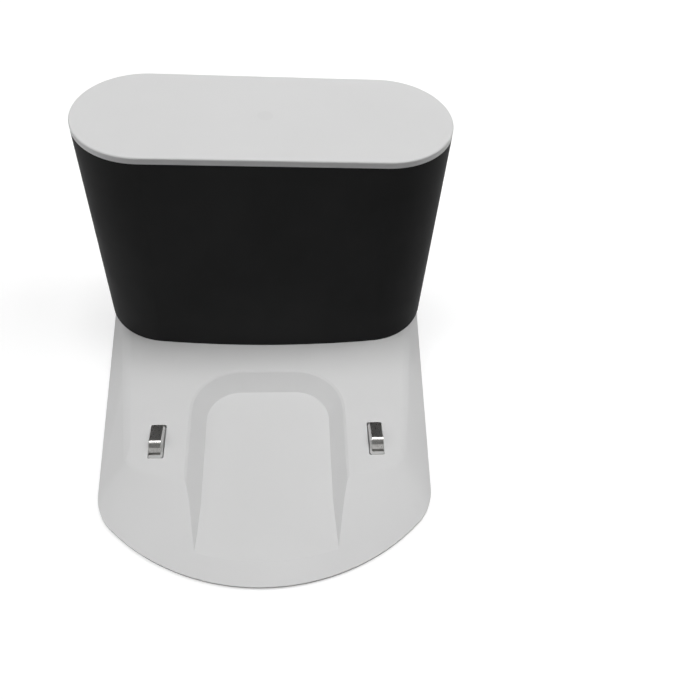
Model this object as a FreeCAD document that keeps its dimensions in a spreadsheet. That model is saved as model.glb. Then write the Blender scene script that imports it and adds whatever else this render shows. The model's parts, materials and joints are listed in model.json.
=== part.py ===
import FreeCAD, Part

import math
import os
from types import SimpleNamespace

import Sketcher

# Charging dock for a robot vacuum cleaner, in millimetres.
# X runs to the right seen from the front, Y to the back, Z up; the floor is at Z 0.

SIZES = {
    # whole dock and tower
    "dock_depth": 151,
    "dock_height": 98,
    "tower_width": 130,
    "tower_depth": 49.5,
    "tower_wall": 2,
    "tower_split": 6,
    "window_bow_radius": 400,
    "tongue_wall": 1.2,
    "tongue_reach": 4,
    "cap_edge": 2.4,
    "cap_round": 0.6,
    "cap_skirt": 5,
    "cap_skirt_wall": 1.6,
    "fit_gap": 0.15,
    # base plate
    "foot_proud": 0.8,
    "cover_thickness": 1.2,
    "rim_height": 1,
    "deck_height": 8.5,
    "deck_skin": 1.8,
    "rim_wall": 2,
    "cover_ledge": 1,
    "nose_radius": 76,
    "nose_width": 119.8,
    "nose_corner": 20,
    "deck_tower_width": 117,
    "deck_nose_width": 101,
    "deck_nose_radius": 150,
    "deck_corner": 8,
    "deck_setback": 35,
    "deck_round": 5,
    "cover_setback": 22,
    # bay for the front caster of the robot
    "bay_floor": 3.4,
    "bay_width": 46.8,
    "bay_corner": 13,
    "bay_run": 5.6,
    "bay_back_run": 7,
    "bay_to_tower": 22.4,
    "bay_wall": 2.8,
    "bay_bevel": 1,
    "bay_splay": 2,
    "bay_throat": 30,
    "bay_throat_radius": 60,
    # feet and cover screws
    "foot_diameter": 12,
    "foot_seat": 0.5,
    "foot_bevel": 0.3,
    "front_foot_spread": 64,
    "front_foot_setback": 17.5,
    "rear_foot_spread": 92,
    "rear_foot_inset": 22,
    "screw_shank": 2.4,
    "screw_head": 4.8,
    "screw_boss": 5.4,
    "screw_tip_skin": 0.7,
    "front_screw_spread": 68,
    "front_screw_setback": 39.5,
    "middle_screw_spread": 100,
    "middle_screw_gap": 15,
    "rear_screw_spread": 40,
    "rear_screw_inset": 11,
    # charging contacts
    "contact_spread": 81.2,
    "contact_inset": 16.8,
    "contact_width": 4.2,
    "contact_sheet": 0.4,
    "contact_rear_run": 8.9,
    "contact_front_run": 3.1,
    "contact_knee_run": 1.6,
    "contact_knee_rise": 1.15,
    "contact_toe_rise": 0.3,
    "contact_knee_round": 0.9,
    "contact_rise": 2.9,
    "contact_shoulder": 0.3,
    "contact_tail": 1.8,
    "contact_round": 1.8,
    "carrier_width": 5.2,
    "carrier_shift": 0.35,
    "carrier_groove": 0.8,
    "carrier_groove_depth": 2.4,
    "carrier_lip": 1.3,
    "carrier_lip_drop": 0.1,
    "carrier_corner": 0.9,
    "carrier_flange": 1,
    "carrier_flange_thickness": 1.2,
    "slot_gap": 0.15,
    "slot_inner_gap": 0.35,
    "slot_corner": 0.6,
    "stop_gap": 0.1,
    "guide_wall": 1.2,
    "spring_wire": 0.4,
    "spring_diameter": 2.8,
    "spring_turns": 4.5,
    "spring_room": 0.3,
    "spring_roof": 1.3,
    "spigot_diameter": 1.8,
    "spigot_height": 1.2,
    # cord storage and mains inlet
    "storage_width": 76,
    "storage_shift": 8,
    "storage_height": 56,
    "storage_depth": 15,
    "storage_sill": 10,
    "storage_corner": 6,
    "notch_width": 7,
    "notch_spread": 52,
    "inlet_width": 11,
    "inlet_height": 17,
    "inlet_depth": 18,
    "inlet_flange": 2,
    "inlet_rise": 14,
    "inlet_inset": 3.6,
    "socket_width": 8.4,
    "socket_height": 15,
    "socket_depth": 12,
    "pin_diameter": 2.4,
    "pin_pitch": 8.6,
    "pin_recess": 3,
    "pin_tail": 3,
    # screws of the tower
    "tower_boss": 7,
    "tower_boss_gap": 0.6,
    "tower_boss_web": 2,
    "tower_boss_height": 16,
    "tower_screw_length": 11,
    "tower_screw_head_height": 1.8,
    # power board and its parts
    "board_width": 84,
    "board_height": 58,
    "board_thickness": 1.6,
    "board_rise": 6,
    "board_hole_inset": 4,
    "standoff_diameter": 6,
    "board_screw_length": 6,
    "transformer_width": 22,
    "transformer_height": 24,
    "transformer_core": 9,
    "transformer_depth": 12.5,
    "transformer_x": 4,
    "transformer_z": 30,
    "bulk_diameter": 12,
    "bulk_length": 24,
    "bulk_x": 26,
    "bulk_z": 38,
    "output_can_diameter": 8,
    "output_can_height": 11.5,
    "output_can_x": 20,
    "output_can_pitch": 10,
    "output_can_z": 14,
    "sink_width": 16,
    "sink_height": 18,
    "sink_depth": 11,
    "sink_wall": 1.5,
    "sink_x": 24,
    "sink_z": 26,
    "choke_diameter": 13,
    "choke_hole": 6,
    "choke_depth": 8,
    "choke_x": 27,
    "choke_z": 15,
    "fuse_diameter": 5.2,
    "fuse_length": 20,
    "fuse_x": 2,
    "fuse_z": 10,
    # infrared beacon
    "beacon_width": 92,
    "beacon_height": 16,
    "beacon_rise": 48,
    "shroud_depth": 5,
    "shroud_gap": 1,
    "shroud_leg": 7,
    "shroud_foot": 9,
    "emitter_diameter": 5,
    "emitter_tip": 2.6,
    "emitter_flange": 5.8,
    "emitter_flange_height": 1,
    "emitter_inner_pitch": 12,
    "emitter_outer_spread": 72,
    "beacon_lead_diameter": 3,
    "beacon_lead_drop": 2,
    # status light
    "lens_diameter": 5.4,
    "lens_flange": 7.6,
    "lens_flange_height": 1,
    "lens_rod": 3,
    "lens_gap": 0.6,
    "status_led_diameter": 3,
    "status_led_height": 4,
    # wiring
    "lead_diameter": 1.5,
    "lead_bend": 3.5,
    "lead_spread": 20,
    "lead_stand_off": 4,
    "lead_rise": 5,
    "lead_turn": 6,
    "lead_port_width": 30,
    "lead_port_depth": 6,
    "inlet_lead_loop": 4,
}

doc = FreeCAD.newDocument("robot_vacuum_charging_dock")
sheet = doc.addObject("Spreadsheet::Sheet", "Dimensions")
for row, (alias, number) in enumerate(SIZES.items(), start=1):
    sheet.set(f"A{row}", alias)
    sheet.set(f"B{row}", str(number))
    sheet.setAlias(f"B{row}", alias)
doc.recompute()


class Size:
    """A length that knows its number and the spreadsheet expression it comes from."""

    def __init__(self, text, number):
        self.text = text
        self.number = float(number)

    def __add__(self, other):
        other = as_size(other)
        return Size(f"({self.text} + {other.text})", self.number + other.number)

    def __radd__(self, other):
        return as_size(other) + self

    def __sub__(self, other):
        other = as_size(other)
        return Size(f"({self.text} - {other.text})", self.number - other.number)

    def __rsub__(self, other):
        return as_size(other) - self

    def __mul__(self, other):
        other = as_size(other)
        return Size(f"({self.text} * {other.text})", self.number * other.number)

    def __rmul__(self, other):
        return as_size(other) * self

    def __truediv__(self, other):
        other = as_size(other)
        return Size(f"({self.text} / {other.text})", self.number / other.number)

    def __neg__(self):
        return Size(f"(0 - {self.text})", -self.number)


def as_size(value):
    if isinstance(value, Size):
        return value
    return Size(f"({value:.6f})", value)


d = SimpleNamespace(**{alias: Size(f"Dimensions.{alias}", number) for alias, number in SIZES.items()})
zero = as_size(0)

# Slack for picking edges by their place.
NEAR = 1e-3

# Levels and lines that several pieces share.
back_y = d.dock_depth / 2
front_y = -back_y
tower_y = back_y - d.tower_depth / 2
tower_front_y = back_y - d.tower_depth
tower_end_x = d.tower_width / 2 - d.tower_depth / 2
split_y = tower_y + d.tower_split
cap_z = d.dock_height - d.cap_edge
cover_z = d.foot_proud
floor_z = cover_z + d.cover_thickness
rim_z = cover_z + d.rim_height
deck_z = d.deck_height
ceiling_z = deck_z - d.deck_skin
contact_y = front_y + d.deck_setback + d.contact_inset
contact_x = d.contact_spread / 2
carrier_x = contact_x - d.carrier_shift
storage_left = d.storage_shift - d.storage_width / 2
storage_right = d.storage_shift + d.storage_width / 2
storage_floor_y = back_y - d.storage_depth
storage_wall_y = storage_floor_y - d.tower_wall
storage_bottom = deck_z + d.storage_sill
storage_top = storage_bottom + d.storage_height
board_front_y = tower_y - d.board_thickness / 2
board_back_y = tower_y + d.board_thickness / 2
board_bottom = deck_z + d.board_rise
board_top = board_bottom + d.board_height
shroud_front_y = tower_front_y + d.tower_wall + d.shroud_gap
beacon_front_y = shroud_front_y + d.shroud_depth
beacon_back_y = beacon_front_y + d.board_thickness
beacon_bottom = deck_z + d.beacon_rise
beacon_middle = beacon_bottom + d.beacon_height / 2
inlet_y = back_y - d.inlet_inset - d.inlet_width / 2
inlet_z = storage_bottom + d.inlet_rise
inlet_back_x = storage_left - d.inlet_depth

parts = []


def keep(shape, name):
    """Mark one finished piece for export under its own name."""
    shape.Label = name
    parts.append(shape)
    return shape


def bind(item, path, size):
    item.setExpression(path, as_size(size).text)


def place(item, x, y, z):
    for axis, size in zip("xyz", (x, y, z)):
        bind(item, f"Placement.Base.{axis}", size)


def box(x0, x1, y0, y1, z0, z1):
    block = doc.addObject("Part::Box", "block")
    bind(block, "Length", x1 - x0)
    bind(block, "Width", y1 - y0)
    bind(block, "Height", z1 - z0)
    place(block, x0, y0, z0)
    return block


TURN = {
    "z": FreeCAD.Rotation(),
    "y": FreeCAD.Rotation(FreeCAD.Vector(1, 0, 0), -90),
    "x": FreeCAD.Rotation(FreeCAD.Vector(0, 1, 0), 90),
}


def rod(diameter, x, y, z, length, axis="z"):
    """A round bar from x, y, z along one axis."""
    bar = doc.addObject("Part::Cylinder", "bar")
    bar.Placement = FreeCAD.Placement(FreeCAD.Vector(), TURN[axis])
    bind(bar, "Radius", diameter / 2)
    bind(bar, "Height", length)
    place(bar, x, y, z)
    return bar


def cone(bottom, top, x, y, z, length, axis="z"):
    taper = doc.addObject("Part::Cone", "taper")
    taper.Placement = FreeCAD.Placement(FreeCAD.Vector(), TURN[axis])
    bind(taper, "Radius1", bottom / 2)
    bind(taper, "Radius2", top / 2)
    bind(taper, "Height", length)
    place(taper, x, y, z)
    return taper


def fuse(shapes):
    joined = doc.addObject("Part::MultiFuse", "joined")
    joined.Shapes = shapes
    joined.Refine = True
    return joined


def cut(base, tools):
    remaining = doc.addObject("Part::Cut", "remaining")
    remaining.Base = base
    remaining.Tool = tools[0] if len(tools) == 1 else fuse(tools)
    remaining.Refine = True
    return remaining


def common(first, second):
    shared = doc.addObject("Part::MultiCommon", "shared")
    shared.Shapes = [first, second]
    shared.Refine = True
    return shared


def group(shapes):
    bundle = doc.addObject("Part::Compound", "bundle")
    bundle.Links = shapes
    return bundle


def origin_plane(body, role):
    return next(item for item in body.Origin.OriginFeatures if item.Role == role)


def new_sketch(body=None, plane="XY_Plane", lift=zero):
    """A sketch on an origin plane of a body, or a free one parallel to the floor."""
    if body is None:
        sketch = doc.addObject("Sketcher::SketchObject", "profile")
        bind(sketch, "Placement.Base.z", lift)
        return sketch
    sketch = body.newObject("Sketcher::SketchObject", "profile")
    sketch.AttachmentSupport = [(origin_plane(body, plane), "")]
    sketch.MapMode = "FlatFace"
    bind(sketch, "AttachmentOffset.Base.z", lift)
    return sketch


def constrain(sketch, kind, *numbers, size):
    index = sketch.addConstraint(Sketcher.Constraint(kind, *numbers, size.number))
    sketch.setExpression(f"Constraints[{index}]", size.text)


def pin_point(sketch, geometry, end, x, y):
    """Hold one point of the sketch at given coordinates."""
    for kind, axis, size in (("DistanceX", -2, x), ("DistanceY", -1, y)):
        if size is zero:
            sketch.addConstraint(Sketcher.Constraint("PointOnObject", geometry, end, axis))
        else:
            constrain(sketch, kind, -1, 1, geometry, end, size=size)


def flat(x, y):
    return FreeCAD.Vector(x, y, 0)


def arc(x, y, radius, start, stop):
    circle = Part.Circle(flat(x, y), FreeCAD.Vector(0, 0, 1), radius)
    return Part.ArcOfCircle(circle, start, stop)


def draw_polygon(sketch, corners):
    """A closed outline through corners (x, y) or, rounded, (x, y, radius)."""
    corners = [(as_size(c[0]) if c[0] is not zero else zero,
                as_size(c[1]) if c[1] is not zero else zero,
                c[2] if len(c) > 2 else None) for c in corners]
    count = len(corners)
    points = [flat(x.number, y.number) for x, y, _ in corners]
    entries = []
    exits = []
    for i, (_, _, radius) in enumerate(corners):
        before = (points[i - 1] - points[i]).normalize()
        after = (points[(i + 1) % count] - points[i]).normalize()
        setback = 0
        if radius is not None:
            setback = radius.number / math.tan(before.getAngle(after) / 2)
        entries.append(points[i] + before * setback)
        exits.append(points[i] + after * setback)
    lines = []
    for i in range(count):
        lines.append(sketch.addGeometry(Part.LineSegment(exits[i], entries[(i + 1) % count])))
    for i, (x, y, radius) in enumerate(corners):
        arriving = lines[i - 1]
        leaving = lines[i]
        if radius is None:
            sketch.addConstraint(Sketcher.Constraint("Coincident", arriving, 2, leaving, 1))
            pin_point(sketch, leaving, 1, x, y)
            continue
        before = (points[i - 1] - points[i]).normalize()
        after = (points[(i + 1) % count] - points[i]).normalize()
        bisector = (before + after).normalize()
        reach = radius.number / math.sin(before.getAngle(after) / 2)
        centre = points[i] + bisector * reach
        angles = [math.atan2(p.y - centre.y, p.x - centre.x) for p in (entries[i], exits[i])]
        turning_left = before.cross(after).z < 0
        start, stop = angles if turning_left else angles[::-1]
        if stop < start:
            stop += 2 * math.pi
        bend = sketch.addGeometry(arc(centre.x, centre.y, radius.number, start, stop))
        first, second = (1, 2) if turning_left else (2, 1)
        sketch.addConstraint(Sketcher.Constraint("Tangent", arriving, 2, bend, first))
        sketch.addConstraint(Sketcher.Constraint("Tangent", bend, second, leaving, 1))
        constrain(sketch, "Radius", bend, size=radius)
        corner = sketch.addGeometry(Part.Point(points[i]), True)
        pin_point(sketch, corner, 1, x, y)
        sketch.addConstraint(Sketcher.Constraint("PointOnObject", corner, 1, arriving))
        sketch.addConstraint(Sketcher.Constraint("PointOnObject", corner, 1, leaving))


def draw_rectangle(sketch, x0, x1, y0, y1, radius=None):
    corners = [(x0, y0), (x1, y0), (x1, y1), (x0, y1)]
    if radius is not None:
        corners = [corner + (radius,) for corner in corners]
    draw_polygon(sketch, corners)


def draw_stadium(sketch, inset):
    """The plan of the tower, drawn in by an inset: two straight sides and two round ends."""
    radius = d.tower_depth / 2 - inset
    x = tower_end_x.number
    y = tower_y.number
    r = radius.number
    front = sketch.addGeometry(Part.LineSegment(flat(-x, y - r), flat(x, y - r)))
    right = sketch.addGeometry(arc(x, y, r, -math.pi / 2, math.pi / 2))
    back = sketch.addGeometry(Part.LineSegment(flat(x, y + r), flat(-x, y + r)))
    left = sketch.addGeometry(arc(-x, y, r, math.pi / 2, 3 * math.pi / 2))
    for first, second in ((front, right), (right, back), (back, left), (left, front)):
        sketch.addConstraint(Sketcher.Constraint("Tangent", first, 2, second, 1))
    pin_point(sketch, right, 3, tower_end_x, tower_y)
    pin_point(sketch, left, 3, -tower_end_x, tower_y)
    constrain(sketch, "Radius", right, size=radius)


def draw_bowed_stadium(sketch):
    """The foot of the tower: like the stadium, with a front that bows out a little."""
    radius = d.tower_depth / 2
    x = tower_end_x.number
    y = tower_y.number
    r = radius.number
    bow = d.window_bow_radius.number
    lift = math.sqrt((bow - r) ** 2 - x ** 2)
    lean = math.atan2(-lift, x)
    front = sketch.addGeometry(arc(0, y + lift, bow, -math.pi - lean, lean + 2 * math.pi))
    right = sketch.addGeometry(arc(x, y, r, lean, math.pi / 2))
    back = sketch.addGeometry(Part.LineSegment(flat(x, y + r), flat(-x, y + r)))
    left = sketch.addGeometry(arc(-x, y, r, math.pi / 2, math.pi - lean))
    for first, second in ((front, right), (right, back), (back, left), (left, front)):
        sketch.addConstraint(Sketcher.Constraint("Tangent", first, 2, second, 1))
    pin_point(sketch, right, 3, tower_end_x, tower_y)
    pin_point(sketch, left, 3, -tower_end_x, tower_y)
    constrain(sketch, "Radius", right, size=radius)
    constrain(sketch, "Radius", front, size=d.window_bow_radius)


def draw_plan(sketch, end_radius, nose_half, corner, nose, nose_y, kink=None):
    """A plan of the base: round ends under the tower, straight sides and a bowed nose.

    With a kink the sides leave the round ends at that half width, otherwise tangent to them.
    """
    cx = tower_end_x.number
    cy = tower_y.number
    re = end_radius.number
    rc = corner.number
    fy = nose_y.number + nose.number
    nx = nose_half.number - rc
    ny = fy - math.sqrt((nose.number - rc) ** 2 - nx ** 2)
    lean = math.atan2(ny - fy, nx)
    if kink is None:
        rise = math.atan2(cy - ny, cx - nx)
        end_angle = rise - math.pi / 2 - math.asin((rc - re) / math.hypot(cx - nx, cy - ny))
        side_angle = end_angle
        end_point = (cx + re * math.cos(end_angle), cy + re * math.sin(end_angle))
    else:
        end_angle = -math.acos((kink.number - cx) / re)
        end_point = (kink.number, cy + re * math.sin(end_angle))
        run = math.hypot(end_point[0] - nx, end_point[1] - ny)
        aim = math.atan2(end_point[1] - ny, end_point[0] - nx)
        side_angle = aim - math.acos(rc / run)
    side_point = (nx + rc * math.cos(side_angle), ny + rc * math.sin(side_angle))
    back = sketch.addGeometry(Part.LineSegment(flat(-cx, cy + re), flat(cx, cy + re)))
    right_end = sketch.addGeometry(arc(cx, cy, re, end_angle, math.pi / 2))
    right_side = sketch.addGeometry(Part.LineSegment(flat(*end_point), flat(*side_point)))
    right_nose = sketch.addGeometry(arc(nx, ny, rc, lean, side_angle))
    front = sketch.addGeometry(arc(0, fy, nose.number, math.pi - lean, 2 * math.pi + lean))
    left_nose = sketch.addGeometry(arc(-nx, ny, rc, math.pi - side_angle, math.pi - lean))
    left_side = sketch.addGeometry(
        Part.LineSegment(flat(-side_point[0], side_point[1]), flat(-end_point[0], end_point[1])))
    left_end = sketch.addGeometry(arc(-cx, cy, re, math.pi / 2, math.pi - end_angle))
    join = "Tangent" if kink is None else "Coincident"
    meetings = (
        ("Tangent", back, 2, right_end, 2),
        (join, right_end, 1, right_side, 1),
        ("Tangent", right_side, 2, right_nose, 2),
        ("Tangent", right_nose, 1, front, 2),
        ("Tangent", front, 1, left_nose, 2),
        ("Tangent", left_nose, 1, left_side, 1),
        (join, left_side, 2, left_end, 2),
        ("Tangent", left_end, 1, back, 1),
    )
    for meeting in meetings:
        sketch.addConstraint(Sketcher.Constraint(*meeting))
    pin_point(sketch, right_end, 3, tower_end_x, tower_y)
    pin_point(sketch, left_end, 3, -tower_end_x, tower_y)
    constrain(sketch, "Radius", right_end, size=end_radius)
    constrain(sketch, "Radius", left_end, size=end_radius)
    pin_point(sketch, front, 3, zero, nose_y + nose)
    constrain(sketch, "Radius", front, size=nose)
    for curve, side in ((right_nose, 1), (left_nose, -1)):
        constrain(sketch, "Radius", curve, size=corner)
        constrain(sketch, "DistanceX", -1, 1, curve, 3, size=(nose_half - corner) * side)
    if kink is not None:
        constrain(sketch, "DistanceX", -1, 1, right_side, 1, size=kink)
        constrain(sketch, "DistanceX", -1, 1, left_side, 2, size=-kink)


def base_plan(z, inset, setback=zero):
    sketch = new_sketch(lift=z)
    draw_plan(sketch, d.tower_depth / 2 - inset, d.nose_width / 2 - inset, d.nose_corner - inset,
              d.nose_radius - inset, front_y + inset + setback)
    return sketch


def deck_plan(z, inset):
    sketch = new_sketch(lift=z)
    draw_plan(sketch, d.tower_depth / 2 - inset, d.deck_nose_width / 2 - inset, d.deck_corner - inset,
              d.deck_nose_radius - inset, front_y + d.deck_setback + inset,
              kink=d.deck_tower_width / 2 - inset)
    return sketch


def extrude(sketch, height):
    solid = doc.addObject("Part::Extrusion", "slab")
    solid.Base = sketch
    solid.DirMode = "Custom"
    solid.Dir = FreeCAD.Vector(0, 0, 1)
    solid.Solid = True
    bind(solid, "LengthFwd", height)
    return solid


def loft(lower, upper):
    skin = doc.addObject("Part::Loft", "skin")
    skin.Sections = [lower, upper]
    skin.Solid = True
    skin.Ruled = True
    return skin


def mirrored(positions):
    return [(x * side, y) for x, y in positions for side in (1, -1)]


def new_body():
    return doc.addObject("PartDesign::Body", "body")


def pad(body, sketch, length, backwards=False):
    feature = body.newObject("PartDesign::Pad", "pad")
    feature.Profile = sketch
    feature.Reversed = backwards
    bind(feature, "Length", length)
    doc.recompute()
    return feature


def pocket(body, sketch, length, backwards=False):
    feature = body.newObject("PartDesign::Pocket", "pocket")
    feature.Profile = sketch
    feature.Reversed = backwards
    bind(feature, "Length", length)
    doc.recompute()
    return feature


def turned(corners, x, y):
    """A round piece from its half section (radius, height), standing at x, y."""
    body = new_body()
    sketch = new_sketch(body, "XZ_Plane")
    draw_polygon(sketch, corners)
    feature = body.newObject("PartDesign::Revolution", "turning")
    feature.Profile = sketch
    feature.ReferenceAxis = (sketch, ["V_Axis"])
    feature.Angle = 360
    place(body, x, y, zero)
    doc.recompute()
    return body


def round_circle(sketch, x, y, diameter):
    circle = Part.Circle(flat(x.number, y.number), FreeCAD.Vector(0, 0, 1), diameter.number / 2)
    ring = sketch.addGeometry(circle)
    pin_point(sketch, ring, 3, x, y)
    constrain(sketch, "Radius", ring, size=diameter / 2)


# Positions of the screws and feet under the base.
cover_screw_places = mirrored([
    (d.front_screw_spread / 2, front_y + d.front_screw_setback),
    (d.middle_screw_spread / 2, tower_front_y - d.middle_screw_gap),
    (d.rear_screw_spread / 2, back_y - d.rear_screw_inset),
])
foot_places = {
    "front_left_foot": (-d.front_foot_spread / 2, front_y + d.front_foot_setback),
    "front_right_foot": (d.front_foot_spread / 2, front_y + d.front_foot_setback),
    "rear_left_foot": (-d.rear_foot_spread / 2, back_y - d.rear_foot_inset),
    "rear_right_foot": (d.rear_foot_spread / 2, back_y - d.rear_foot_inset),
}
boss_radius = d.tower_depth / 2 - d.tower_wall - d.tower_boss / 2 - d.tower_boss_gap
REAR_BOSS_ANGLE = math.radians(35)
FRONT_BOSS_ANGLE = math.radians(-60)


def boss_place(angle):
    return tower_end_x + boss_radius * math.cos(angle), tower_y + boss_radius * math.sin(angle)


rear_bosses = mirrored([boss_place(REAR_BOSS_ANGLE)])
front_bosses = mirrored([boss_place(FRONT_BOSS_ANGLE)])

# Largest round on an edge of the deck, as a share of the skirt beside it.
MOST_ROUND = 0.55

# Base plate: a low platform with sloping skirts and a bay that is open to the front.
sharp_platform = fuse([
    extrude(base_plan(cover_z, zero), rim_z - cover_z),
    loft(base_plan(rim_z, zero), deck_plan(deck_z, zero)),
])
doc.recompute()
deck_edges = [i for i, edge in enumerate(sharp_platform.Shape.Edges, start=1)
              if edge.BoundBox.ZMin > deck_z.number - NEAR and edge.CenterOfMass.y < tower_front_y.number]
skirt_run = (d.nose_width - d.deck_nose_width) / 2
deck_round = min(d.deck_round.number, skirt_run.number * MOST_ROUND)
platform = doc.addObject("Part::Fillet", "soft_platform")
platform.Base = sharp_platform
platform.Edges = [(i, deck_round, deck_round) for i in deck_edges]
cover_pocket = extrude(base_plan(cover_z, d.rim_wall, d.cover_setback), floor_z - cover_z)
cavity = loft(base_plan(floor_z, d.rim_wall + d.cover_ledge, d.cover_setback),
              deck_plan(ceiling_z, d.rim_wall))

bay_depth = deck_z - d.bay_floor
bay_back_y = tower_front_y - d.bay_to_tower
bay_front_y = front_y - d.rim_wall
bay_throat_y = front_y + d.bay_throat


def bay_plan(z, wall, climb):
    """The plan of the bay with a wall round it, where climb is 0 at its floor and 1 at the deck."""
    sketch = new_sketch(lift=z)
    grow = wall + d.bay_run * climb
    half = d.bay_width / 2 + grow
    mouth = half + d.bay_splay
    back = bay_back_y + wall + d.bay_back_run * climb
    radius = d.bay_corner + grow
    throat = d.bay_throat_radius - grow
    draw_polygon(sketch, [
        (-mouth, bay_front_y), (mouth, bay_front_y),
        (half, bay_throat_y, throat), (half, back, radius),
        (-half, back, radius), (-half, bay_throat_y, throat),
    ])
    return sketch


bay = loft(bay_plan(d.bay_floor, zero, 0), bay_plan(deck_z + bay_depth, zero, 2))
flare_reach = d.bay_bevel * 2
flare_climb = flare_reach / bay_depth
flare = loft(bay_plan(deck_z - flare_reach, -flare_reach, 1 - flare_climb),
             bay_plan(deck_z + flare_reach, flare_reach + d.bay_bevel, 1 + flare_climb))
tray_foot = extrude(bay_plan(cover_z, d.bay_wall, 0), d.bay_floor - cover_z)
tray_sides = loft(bay_plan(d.bay_floor, d.bay_wall, 0), bay_plan(deck_z, d.bay_wall, 1))

carrier_rear_y = contact_y + d.contact_rear_run
carrier_front_y = contact_y - d.contact_front_run - d.carrier_groove - d.carrier_lip
slot_inner_x = carrier_x - d.carrier_width / 2 - d.slot_inner_gap
slot_outer_x = carrier_x + d.carrier_width / 2 + d.slot_gap
slot_rear_y = carrier_rear_y + d.slot_gap
slot_front_y = carrier_front_y - d.slot_gap
guide_half = d.carrier_width / 2 + d.carrier_flange + d.slot_inner_gap
inner_shapes = [tray_foot, tray_sides]
plate_cuts = [bay, flare]
for x, y in cover_screw_places:
    inner_shapes.append(rod(d.screw_boss, x, y, floor_z, ceiling_z - floor_z + d.deck_skin / 2))
    plate_cuts.append(rod(d.screw_shank, x, y, floor_z, ceiling_z - floor_z - d.screw_tip_skin))
for side in (1, -1):
    middle = carrier_x * side
    for edge in (1, -1):
        inner_edge = middle + guide_half * edge
        outer_edge = inner_edge + d.guide_wall * edge
        low, high = (inner_edge, outer_edge) if edge == 1 else (outer_edge, inner_edge)
        inner_shapes.append(box(low, high, slot_front_y, slot_rear_y, floor_z + d.fit_gap,
                                ceiling_z + d.deck_skin / 2))
    slot_plan = new_sketch(lift=floor_z + d.fit_gap)
    slot_left, slot_right = (slot_inner_x, slot_outer_x) if side == 1 else (-slot_outer_x, -slot_inner_x)
    draw_rectangle(slot_plan, slot_left, slot_right, slot_front_y, slot_rear_y, d.slot_corner)
    plate_cuts.append(extrude(slot_plan, deck_z - floor_z))
for name in ("front_left_foot", "front_right_foot"):
    plate_cuts.append(rod(d.foot_diameter, *foot_places[name], cover_z, d.foot_seat))
for x, y in rear_bosses + front_bosses:
    plate_cuts.append(rod(d.screw_shank + d.fit_gap * 2, x, y, ceiling_z - d.deck_skin, d.deck_skin * 3))
port_y = board_front_y - d.lead_stand_off
plate_cuts.append(box(-d.lead_port_width / 2, d.lead_port_width / 2, port_y - d.lead_port_depth / 2,
                      port_y + d.lead_port_depth / 2, ceiling_z - d.deck_skin, deck_z + d.deck_skin))
shell = cut(platform, [cover_pocket, cavity])
base_plate = cut(fuse([shell, common(platform, fuse(inner_shapes))]), plate_cuts)
keep(base_plate, "base_plate")

# Bottom cover with seats for the feet and countersunk holes for its screws.
cover_slab = extrude(base_plan(cover_z, d.rim_wall + d.fit_gap, d.cover_setback), d.cover_thickness)
spring_y = contact_y + d.contact_front_run / 2
spigots = [rod(d.spigot_diameter, carrier_x * side, spring_y, floor_z - d.cover_thickness / 2,
               d.spigot_height + d.cover_thickness / 2) for side in (1, -1)]
cover_cuts = [extrude(bay_plan(cover_z, d.bay_wall + d.fit_gap, 0), d.cover_thickness)]
cover_cuts += [rod(d.foot_diameter, *foot_places[name], cover_z, d.foot_seat)
               for name in ("rear_left_foot", "rear_right_foot")]
for x, y in cover_screw_places:
    cover_cuts.append(cone(d.screw_head, d.screw_shank, x, y, cover_z, d.cover_thickness))
keep(cut(fuse([cover_slab] + spigots), cover_cuts), "bottom_cover")

cover_screws = []
for x, y in cover_screw_places:
    shank = rod(d.screw_shank, x, y, floor_z, ceiling_z - floor_z - d.screw_tip_skin * 2)
    cover_screws.append(fuse([cone(d.screw_head, d.screw_shank, x, y, cover_z, d.cover_thickness), shank]))
keep(group(cover_screws), "cover_screws")

for name, (x, y) in foot_places.items():
    radius = d.foot_diameter / 2
    top = d.foot_proud + d.foot_seat
    keep(turned([
        (zero, zero),
        (radius - d.foot_bevel, zero),
        (radius, d.foot_bevel),
        (radius, top),
        (zero, top),
    ], x, y), name)

# Tower: a dark window round the front and ends, a white housing at the back, a cap on top.
tower_foot = new_sketch(lift=deck_z)
draw_bowed_stadium(tower_foot)
tower_head = new_sketch(lift=cap_z)
draw_stadium(tower_head, zero)
tower = loft(tower_foot, tower_head)
hollow_plan = new_sketch(lift=deck_z)
draw_stadium(hollow_plan, d.tower_wall)
hollow = extrude(hollow_plan, cap_z - deck_z)
tower_ring = cut(tower, [hollow])
beyond = d.tower_width
front_half = box(-beyond, beyond, front_y, split_y, zero, d.dock_height)
rear_half = box(-beyond, beyond, split_y, back_y + d.tower_wall, zero, d.dock_height)


def boss(x, y, wall_y):
    """A screw boss with a web that ties it to the wall of the tower at wall_y."""
    low, high = (y, wall_y) if wall_y.number > y.number else (wall_y, y)
    half = d.tower_boss_web / 2
    web = box(x - half, x + half, low, high, deck_z, deck_z + d.tower_boss_height)
    return fuse([rod(d.tower_boss, x, y, deck_z, d.tower_boss_height), common(tower, web)])


def boss_hole(x, y):
    return rod(d.screw_shank, x, y, deck_z, d.tower_screw_length)


window_ring = fuse([common(tower_ring, front_half)] + [boss(x, y, tower_front_y) for x, y in front_bosses])
keep(cut(window_ring, [boss_hole(x, y) for x, y in front_bosses]), "ir_window")

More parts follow.
